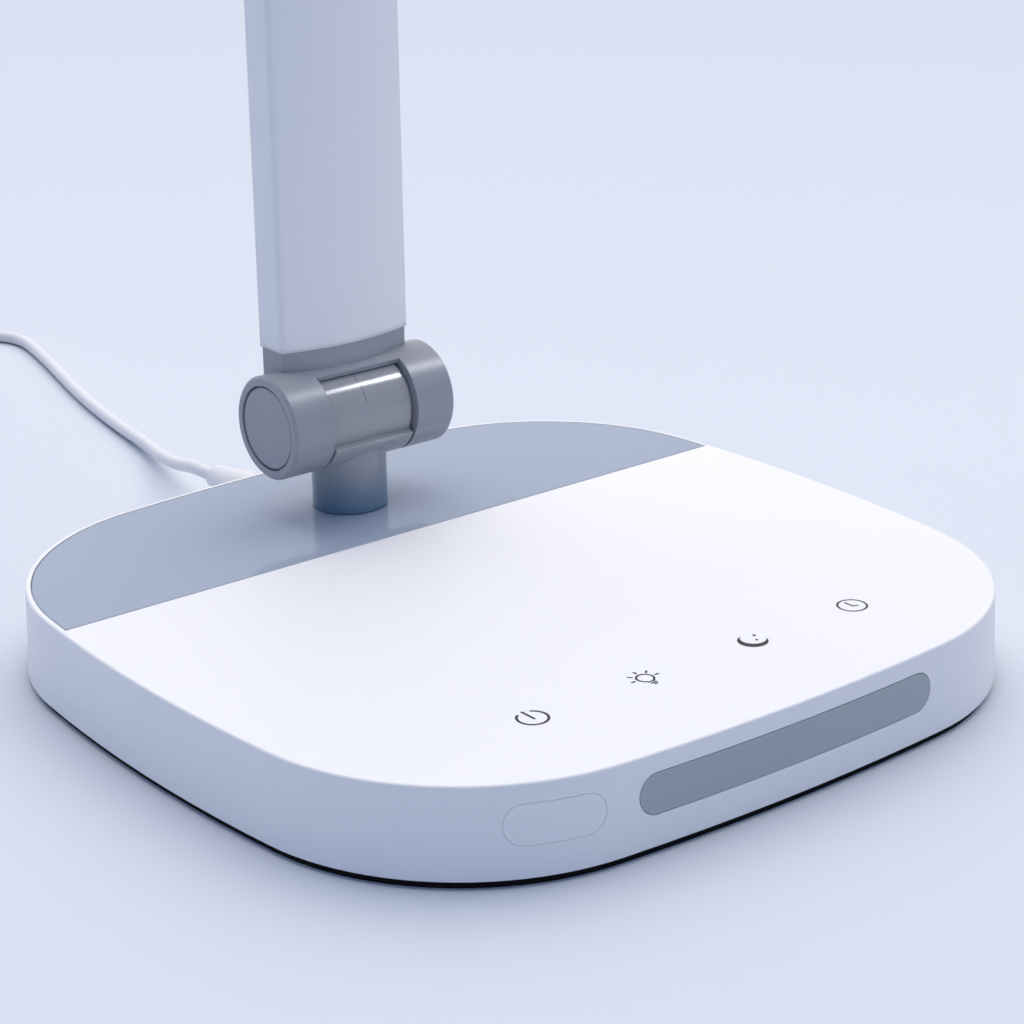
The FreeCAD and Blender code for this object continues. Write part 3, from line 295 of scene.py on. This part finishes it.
# natural acetal, turned: milky with a dry sheen, its tool marks drawn coarse at 0.5 mm
turnedAcetal = makeFinish("turnedAcetal", {
    "tone": "#e4e3dc", "other": "#dddcd4", "patch": 8, "grain": 0.5, "rough": (0.4, 0.52), "relief": 0.12,
    "sockets": {"IOR": 1.48}})
# glass-epoxy board under green solder mask: glossy, with the weave about 0.8 mm wide showing through
maskedEpoxy = makeFinish("maskedEpoxy", {
    "tone": "#2c6b42", "other": "#28633d", "patch": 6, "grain": 0.8, "rough": (0.25, 0.36), "relief": 0.1,
    "sockets": {"IOR": 1.5}})
# black epoxy, moulded round components: dull, its grit drawn coarse at 0.4 mm
mouldedEpoxy = makeFinish("mouldedEpoxy", {
    "tone": "#2a2a2c", "other": "#323234", "patch": 3, "grain": 0.4, "rough": (0.45, 0.6), "relief": 0.15,
    "sockets": {"IOR": 1.5}})
# grey conductive foam, blown with open cells about 0.8 mm wide: dark and without gloss
openFoam = makeFinish("openFoam", {
    "tone": "#515255", "other": "#3d3e41", "patch": 0.8, "grain": 0.8, "rough": (0.8, 0.95), "relief": 0.6,
    "sockets": {"IOR": 1.45}})
# yellow phosphor, cast under clear silicone: glossy, its grains drawn coarse at 0.3 mm
phosphorSilicone = makeFinish("phosphorSilicone", {
    "tone": "#efd85e", "other": "#e6cd50", "patch": 1, "grain": 0.3, "rough": (0.12, 0.2), "relief": 0.05,
    "sockets": {"IOR": 1.41}})
# dark grey ink, screen-printed: thin, dull and a little uneven, its grain drawn coarse at 0.3 mm
printedInk = makeFinish("printedInk", {
    "tone": "#2e2f33", "other": "#393a3f", "patch": 1.2, "grain": 0.3, "rough": (0.45, 0.6), "relief": 0.1,
    "sockets": {"IOR": 1.5}})
print("finishes mixed:", len(bpy.data.materials))

# which finish each solid takes
finishOf = {
    satinWhiteAbs: ["base_shell", "port_blank", "bottom_cover", "head_shell"],
    powderWhite: ["arm_tube"],
    satinGreyAbs: ["lower_knuckle", "upper_knuckle", "tilt_cap_left", "tilt_cap_right",
                   "head_cap_left", "head_cap_right"],
    polishedGreyAbs: ["neck", "head_neck"],
    polishedAcrylic: ["rear_panel"],
    frostedPolycarbonate: ["night_light_lens"],
    mattRubber: ["antislip_pad", "cord_tie"],
    extrudedPvc: ["dc_plug", "usb_body"],
    opalAcrylic: ["head_diffuser"],
    zincSteel: ["base_screws", "arm_screws", "head_screws", "swivel_washer", "swivel_nut", "tilt_shaft",
                "tilt_springs", "tilt_nut", "head_shaft", "head_springs", "head_nut"],
    rolledSteel: ["ballast_plate"],
    nickelSheet: ["usb_shell"],
    maskedAluminium: ["led_board"],
    turnedAcetal: ["swivel_bush", "tilt_washers", "head_washers"],
    maskedEpoxy: ["touch_board", "driver_board", "night_light_board"],
    mouldedEpoxy: ["driver_parts", "dc_socket"],
    openFoam: ["touch_pads"],
    phosphorSilicone: ["night_light_leds", "head_leds"],
}
for finish, names in finishOf.items():
    for name in names:
        cad[name].data.materials.clear()
        cad[name].data.materials.append(finish)
powerCord.data.materials.append(extrudedPvc)
print("solids dressed:", sum(len(names) for names in finishOf.values()))

# touch pictograms, printed on the deck in one row; sizes and places in mm, turns in degrees
printSet = {"y": -63.3, "rise": 0.03, "stroke": 0.6, "fineStroke": 0.48, "tipTurn": 60, "tipSteps": 4,
            "arcSteps": 40, "ringSteps": 60, "dotSteps": 16}


def arcLine(x, y, radius, start, end, steps=printSet["arcSteps"]):
    turns = [math.radians(start + (end - start) * i / steps) for i in range(steps + 1)]
    return [Vector((x + radius * math.cos(t), y + radius * math.sin(t))) for t in turns]


def strokeOutline(line, width):
    # both edges of a pen line, with a round end at each tip
    left, right = [], []
    for i, point in enumerate(line):
        ahead = (line[min(i + 1, len(line) - 1)] - line[max(i - 1, 0)]).normalized()
        side = Vector((-ahead.y, ahead.x)) * width / 2
        left.append(point + side)
        right.append(point - side)
    outline = list(left)
    for tip, ahead, edge in ((line[-1], line[-1] - line[-2], right[::-1]), (line[0], line[0] - line[1], [])):
        turn = math.degrees(math.atan2(ahead.y, ahead.x))
        outline += arcLine(tip.x, tip.y, width / 2, turn + printSet["tipTurn"], turn - printSet["tipTurn"],
                           printSet["tipSteps"])
        outline += edge
    return outline


def printIcon(name, x, outlines):
    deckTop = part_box("base_shell")[1].z
    mesh = bmesh.new()
    for outline in outlines:
        low = [mesh.verts.new(((x + p.x) * mm, (printSet["y"] + p.y) * mm, deckTop)) for p in outline]
        face = mesh.faces.new(low)
        grown = bmesh.ops.extrude_face_region(mesh, geom=[face])
        for vert in (g for g in grown["geom"] if isinstance(g, bmesh.types.BMVert)):
            vert.co.z += printSet["rise"] * mm
    bmesh.ops.recalc_face_normals(mesh, faces=mesh.faces)
    data = bpy.data.meshes.new(name)
    mesh.to_mesh(data)
    mesh.free()
    data.materials.append(printedInk)
    icon = bpy.data.objects.new(name, data)
    scene.collection.objects.link(icon)
    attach(icon, "base")


# an open ring with an upright bar in its gap
powerIcon = {"x": -44.1, "ring": (0, -0.1, 3.2, 122, 418), "bar": ((0, 3.3), (0, -0.6))}


def printPower():
    bar = [Vector(p) for p in powerIcon["bar"]]
    printIcon("iconPower", powerIcon["x"], [
        strokeOutline(arcLine(*powerIcon["ring"]), printSet["stroke"]),
        strokeOutline(bar, printSet["stroke"])])


# rays over an open bulb, from one distance to another, and the bars of its cap by half length and height
bulbIcon = {"x": -14.6, "rayEvery": 45, "rayFrom": 2.75, "rayTo": 3.55, "glass": (0, 0, 1.85, -62, 242),
            "cap": ((0.8, -2.0), (0.65, -2.75), (0.3, -3.4))}


def printBulb():
    outlines = []
    for degrees in range(0, 181, bulbIcon["rayEvery"]):
        way = Vector((math.cos(math.radians(degrees)), math.sin(math.radians(degrees))))
        ray = [way * bulbIcon["rayFrom"], way * bulbIcon["rayTo"]]
        outlines.append(strokeOutline(ray, printSet["fineStroke"]))
    outlines.append(strokeOutline(arcLine(*bulbIcon["glass"]), printSet["fineStroke"]))
    for half, height in bulbIcon["cap"]:
        bar = [Vector((-half, height)), Vector((half, height))]
        outlines.append(strokeOutline(bar, printSet["fineStroke"]))
    printIcon("iconBulb", bulbIcon["x"], outlines)


# a crescent between two arcs, with two dots in its hollow
moonIcon = {"x": 15.1, "outer": (0.1, -0.2, 3.3, 118, 332), "inner": (0.95, 0.65, 2.78, 333, 117),
            "dots": ((2.35, 1.75, 0.42, 0, 340), (1.1, -0.35, 0.36, 0, 340))}


def printMoon():
    dots = [arcLine(*dot, printSet["dotSteps"]) for dot in moonIcon["dots"]]
    printIcon("iconMoon", moonIcon["x"], [arcLine(*moonIcon["outer"]) + arcLine(*moonIcon["inner"])] + dots)


# a ring that all but closes, so that its face is one outline, and two hands
clockIcon = {"x": 44.7, "ringX": 0.1, "ringY": 0, "radius": 3.2, "ringEnd": 359.9,
             "hands": (((0, 2.0), (0, -0.4)), ((0.35, -0.4), (1.15, -0.7)))}


def printClock():
    half = printSet["fineStroke"] / 2
    middle = (clockIcon["ringX"], clockIcon["ringY"])
    ringOut = arcLine(*middle, clockIcon["radius"] + half, 0, clockIcon["ringEnd"], printSet["ringSteps"])
    ringIn = arcLine(*middle, clockIcon["radius"] - half, clockIcon["ringEnd"], 0, printSet["ringSteps"])
    hands = [strokeOutline([Vector(p) for p in hand], printSet["fineStroke"]) for hand in clockIcon["hands"]]
    printIcon("iconClock", clockIcon["x"], [ringOut + ringIn] + hands)


printPower()
printBulb()
printMoon()
printClock()
print("pictograms printed")

# a soft room, dim and bluish all round; gloss shows a bright far wall instead, and the camera a pale backdrop
roomSet = {"sides": "#7e95bf", "seen": "#e2e7f5", "farWall": "#eff3ff", "farWallLevel": 0.9, "dimWall": 0.35,
           "farWallEdge": 2.0}
# the floor's reach in metres, and in mm where it fades into the backdrop
floorSet = {"reach": 9.0, "sides": 64, "fadeMiddle": (100.0, 130.0, 0.0), "fadeFrom": 750.0, "fadeTo": 1500.0}
# matt paper off a roll: pale and nearly without gloss, with a painted shade that darkens it to the back right
# its tooth is finer than a pixel, so it is drawn at 1 mm
floorLook = {
    "tone": "#d1d7df", "other": "#ced4dd", "patch": 400, "grain": 1.0, "rough": (0.8, 0.9), "relief": 0.02,
    "paintedShade": {"along": (0.78, 0.62, 0.0), "from": -150, "to": 850, "tone": "#bec4cf"},
    "sockets": {"IOR": 1.3}}
# both lights: degrees from +Z and from +Y towards +X, metres, and brightness
softboxSet = {"size": 6.6, "away": 3.3, "lean": 26.0, "towards": 49.0, "tone": "#fff5e5", "level": 2.25}
stripSet = {"size": 0.2, "away": 1.1, "lean": 38.0, "towards": 105.0, "tone": "#f4f7ff", "level": 36.0}


def backdropRays(tree):
    # 1 for what the camera sees straight, and 1 for what it sees in gloss or through clear things
    rays = addNode(tree, "ShaderNodeLightPath", {})
    mirrored = addNode(tree, "ShaderNodeMath", {
        0: rays.outputs["Is Glossy Ray"], 1: rays.outputs["Is Transmission Ray"]}, operation="MAXIMUM")
    return rays.outputs["Is Camera Ray"], mirrored.outputs["Value"]


def fadeFloor(material):
    # well away from the lamp the floor is seen as the pale backdrop, and lights nothing
    tree = material.node_tree
    place = addNode(tree, "ShaderNodeTexCoord", {}).outputs["Object"]
    away = addNode(tree, "ShaderNodeVectorMath", {
        0: place, 1: Vector(floorSet["fadeMiddle"]) * mm}, operation="DISTANCE")
    far = addNode(tree, "ShaderNodeMapRange", {
        "Value": away.outputs["Value"], "From Min": floorSet["fadeFrom"] * mm,
        "From Max": floorSet["fadeTo"] * mm}, interpolation_type="SMOOTHSTEP")
    straight, mirrored = backdropRays(tree)
    seen = addNode(tree, "ShaderNodeMath", {0: straight, 1: mirrored}, operation="MAXIMUM")
    share = addNode(tree, "ShaderNodeMath", {
        0: far.outputs["Result"], 1: seen.outputs["Value"]}, operation="MULTIPLY")
    backdrop = addNode(tree, "ShaderNodeEmission", {"Color": linear(roomSet["seen"])})
    both = addNode(tree, "ShaderNodeMixShader", {
        0: share.outputs["Value"], 1: tree.nodes["Principled BSDF"].outputs["BSDF"],
        2: backdrop.outputs["Emission"]})
    tree.links.new(both.outputs["Shader"], tree.nodes["Material Output"].inputs["Surface"])
    material.cycles.emission_sampling = "NONE"


def makeFloor():
    finish = makeFinish("paperFloor", floorLook)
    fadeFloor(finish)
    mesh = bmesh.new()
    bmesh.ops.create_circle(mesh, cap_ends=True, segments=floorSet["sides"], radius=floorSet["reach"])
    data = bpy.data.meshes.new("paperFloor")
    mesh.to_mesh(data)
    mesh.free()
    data.materials.append(finish)
    floor = bpy.data.objects.new("paperFloor", data)
    scene.collection.objects.link(floor)


def makeLight(name, look):
    lean, towards = math.radians(look["lean"]), math.radians(look["towards"])
    way = Vector((math.sin(lean) * math.sin(towards), math.sin(lean) * math.cos(towards), math.cos(lean)))
    lamp = bpy.data.lights.new(name, "AREA")
    lamp.shape = "DISK"
    lamp.size = look["size"]
    lamp.color = linear(look["tone"])[:3]
    area = math.pi * look["size"] ** 2 / 4
    lamp.energy = look["level"] * math.pi * area
    light = bpy.data.objects.new(name, lamp)
    light.location = way * look["away"]
    light.rotation_euler = way.to_track_quat("Z", "Y").to_euler()
    light.visible_camera = False
    scene.collection.objects.link(light)
    return light


def makeRoom():
    world = bpy.data.worlds.new("softRoom")
    scene.world = world
    world.use_nodes = True
    tree = world.node_tree
    straight, mirrored = backdropRays(tree)
    way = addNode(tree, "ShaderNodeTexCoord", {}).outputs["Generated"]
    ahead = addNode(tree, "ShaderNodeVectorMath", {0: way, 1: (0, 1, 0)}, operation="DOT_PRODUCT")
    ahead = addNode(tree, "ShaderNodeMath", {0: ahead.outputs["Value"], 1: 0.0}, operation="MAXIMUM")
    ahead = addNode(tree, "ShaderNodeMath", {
        0: ahead.outputs["Value"], 1: roomSet["farWallEdge"]}, operation="POWER")
    bright = [c * roomSet["farWallLevel"] for c in linear(roomSet["farWall"])[:3]] + [1.0]
    dim = [c * roomSet["dimWall"] for c in bright[:3]] + [1.0]
    walls = addNode(tree, "ShaderNodeMix", {
        mixShare: ahead.outputs["Value"], mixFirst: dim, mixSecond: bright}, data_type="RGBA")
    room = addNode(tree, "ShaderNodeMix", {
        mixShare: mirrored, mixFirst: linear(roomSet["sides"]), mixSecond: walls.outputs[mixResult]},
        data_type="RGBA")
    room = addNode(tree, "ShaderNodeMix", {
        mixShare: straight, mixFirst: room.outputs[mixResult], mixSecond: linear(roomSet["seen"])},
        data_type="RGBA")
    tree.links.new(room.outputs[mixResult], tree.nodes["Background"].inputs["Color"])


makeFloor()
makeLight("softbox", softboxSet).visible_glossy = False     # lights, and isn't mirrored
makeLight("strip", stripSet).visible_diffuse = False     # only draws highlights
makeRoom()
scene.view_settings.view_transform = "Standard"
print("room lit")
